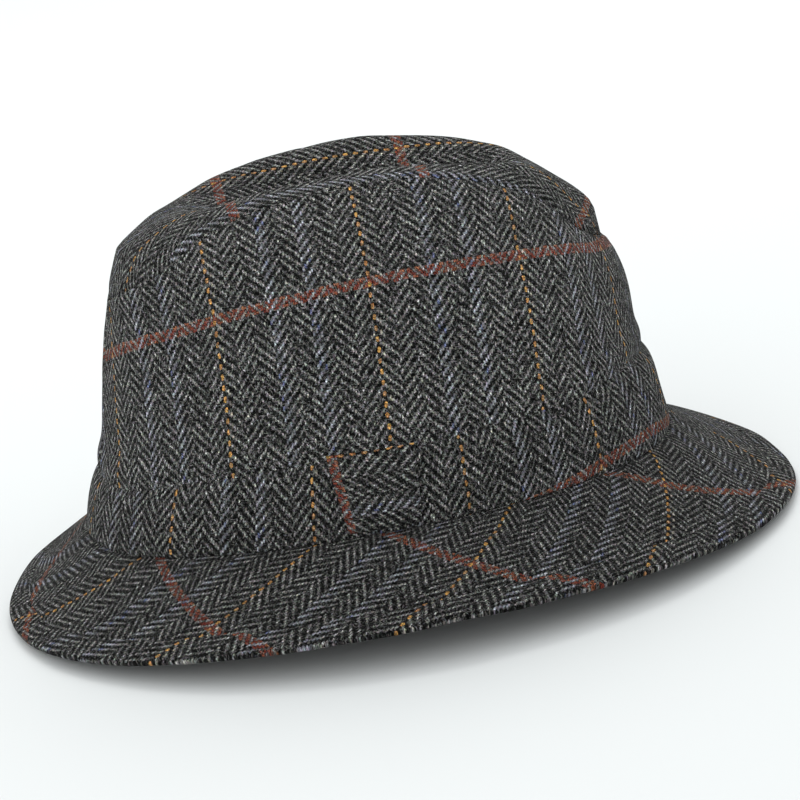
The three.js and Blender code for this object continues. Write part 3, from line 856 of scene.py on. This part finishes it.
def brim_place(p, q):
    angle = 2 * math.pi * p - math.pi
    distance, depth, width = brim_section(angle, q)
    from_edge = width - distance
    points = brim_surface(angle, distance, depth)
    up = points - brim_surface(angle, distance, depth + 1)
    stitch = 1 + STITCH_SHARE * np.sin(2 * math.pi * p * STITCHES)
    sunk = GROOVE_DEPTH * hill(from_edge - GROOVE, GROOVE_WIDTH) * stitch
    puff = PUFF * hill(from_edge - GROOVE / 2, PUFF_WIDTH)
    upper = depth < BRIM_WALL / 2
    relief = (puff - sunk) * np.where(upper, 1, -1)
    relief -= CREASE * hill(distance, CREASE_WIDTH) * upper
    soft = uneven(points, size=30, height=1.0, seed=41) * np.clip(distance / CALM_BY_BAND, 0, 1)
    points += up * (relief + soft)[:, None]
    # nothing goes through the table
    points[:, 2] = np.maximum(points[:, 2], TABLE_CLEARANCE - LIFT)
    return points


brim_lengths, _ = tape(lambda p, q: foot_ring(2 * math.pi * p - math.pi)[0], rows=361, columns=2)


def brim_threads(p, q, own_p, own_q):
    distance = brim_section(2 * math.pi * p - math.pi, q)[0]
    # a face lies wholly this side of the groove or wholly beyond it
    own_distance, _, own_width = brim_section(2 * math.pi * own_p - math.pi, own_q)
    beyond = own_distance > own_width - GROOVE
    s = lookup(brim_lengths, p, 0 * p) - lookup(brim_lengths, np.full_like(p, BRIM_START), 0 * p)
    u, v = (along * s + outwards * distance + start + jump * beyond
            for along, outwards, start, jump in (BRIM_ENDS, BRIM_PICKS))
    return np.stack([u + ORANGE_AT, v + RED_AT], -1)


brim = sheet("brim_cloth", across=400, along=len(section) - 1, place=brim_place,
             threads=brim_threads, closed=True)
brim.data.materials.append(brim_cloth)
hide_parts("brim")

# %% [markdown]
# ## Table, light and camera
#
# The hat stands on a pale table under soft, even light, like a picture in a catalogue. The camera is
# far off with a long lens and leans a little, so the hat's front dips to the left.

# %% Pale floor
FLOOR_HALF, FLOOR_COLOR, FLOOR_ROUGHNESS = 6, (0.775, 0.80, 0.795, 1), 0.9
floor_bm = bmesh.new()
bmesh.ops.create_grid(floor_bm, x_segments=2, y_segments=2, size=FLOOR_HALF)
floor_mesh = bpy.data.meshes.new("floor")
floor_bm.to_mesh(floor_mesh)
floor_bm.free()
floor = bpy.data.objects.new("floor", floor_mesh)
bpy.context.collection.objects.link(floor)
pale = bpy.data.materials.new("pale_floor")
pale.use_nodes = True
floor_shader = pale.node_tree.nodes["Principled BSDF"]
floor_shader.inputs["Base Color"].default_value = FLOOR_COLOR
floor_shader.inputs["Roughness"].default_value = FLOOR_ROUGHNESS
floor.data.materials.append(pale)
print("floor is", 2 * FLOOR_HALF, "m wide")

# %% Soft light
SKY_COLOR, SKY_STRENGTH = (0.98, 0.99, 1.0, 1), 0.97
bpy.context.scene.view_settings.view_transform = "Standard"
world = bpy.context.scene.world or bpy.data.worlds.new("studio")
bpy.context.scene.world = world
world.use_nodes = True
sky = world.node_tree.nodes["Background"]
sky.inputs["Color"].default_value = SKY_COLOR
sky.inputs["Strength"].default_value = SKY_STRENGTH


def lamp(name, place, aim, size, power):
    """A round lamp of this size in metres that shines at a point."""
    data = bpy.data.lights.new(name, "AREA")
    data.shape, data.size, data.energy = "DISK", size, power
    made = bpy.data.objects.new(name, data)
    made.location = place
    made.rotation_euler = (Vector(aim) - Vector(place)).to_track_quat("-Z", "Y").to_euler()
    bpy.context.collection.objects.link(made)


lamp("overhead", place=(-0.9, 0.1, 1.4), aim=(0, 0, 0.05), size=1.2, power=9)
lamp("front", place=(1.5, -0.9, 0.9), aim=(0, 0, 0.08), size=1.2, power=5)
print("lamps:", [light.name for light in bpy.data.lights])

# %% Camera
AZIMUTH, ELEVATION, ROLL = math.radians(84), math.radians(17.98), math.radians(-10.2)
# millimetres to the hat, the lens in pixels, and the pixel where the middle of the crown's base lies
FAR, PIXELS_FAR, FRAME, HAT_X, HAT_Y = 1345.5, 3757.0, 800, 375.29, 450.88
SENSOR, CLIP_END = 36, 100
level_back = Vector((math.sin(AZIMUTH), -math.cos(AZIMUTH), 0))
back = level_back * math.cos(ELEVATION) + Vector((0, 0, math.sin(ELEVATION)))
right = Vector((math.cos(AZIMUTH), math.sin(AZIMUTH), 0))
upright = back.cross(right)
rolled_right = right * math.cos(ROLL) + upright * math.sin(ROLL)
rolled_up = upright * math.cos(ROLL) - right * math.sin(ROLL)
sight = -back + rolled_right * (FRAME / 2 - HAT_X) / PIXELS_FAR
sight = sight + rolled_up * (HAT_Y - FRAME / 2) / PIXELS_FAR
away = -sight.normalized()
across = rolled_up.cross(away).normalized()
upwards = away.cross(across)
camera_data = bpy.data.cameras.new("camera")
camera_data.lens = SENSOR * PIXELS_FAR / FRAME
camera = bpy.data.objects.new("camera", camera_data)
place = Vector((0, SLIDE, LIFT)) * MM + back * FAR * MM
camera.matrix_world = Matrix.Translation(place) @ Matrix((across, upwards, away)).transposed().to_4x4()
camera_data.clip_end = CLIP_END
bpy.context.collection.objects.link(camera)
bpy.context.scene.camera = camera
print("lens", round(camera_data.lens, 1), "mm")
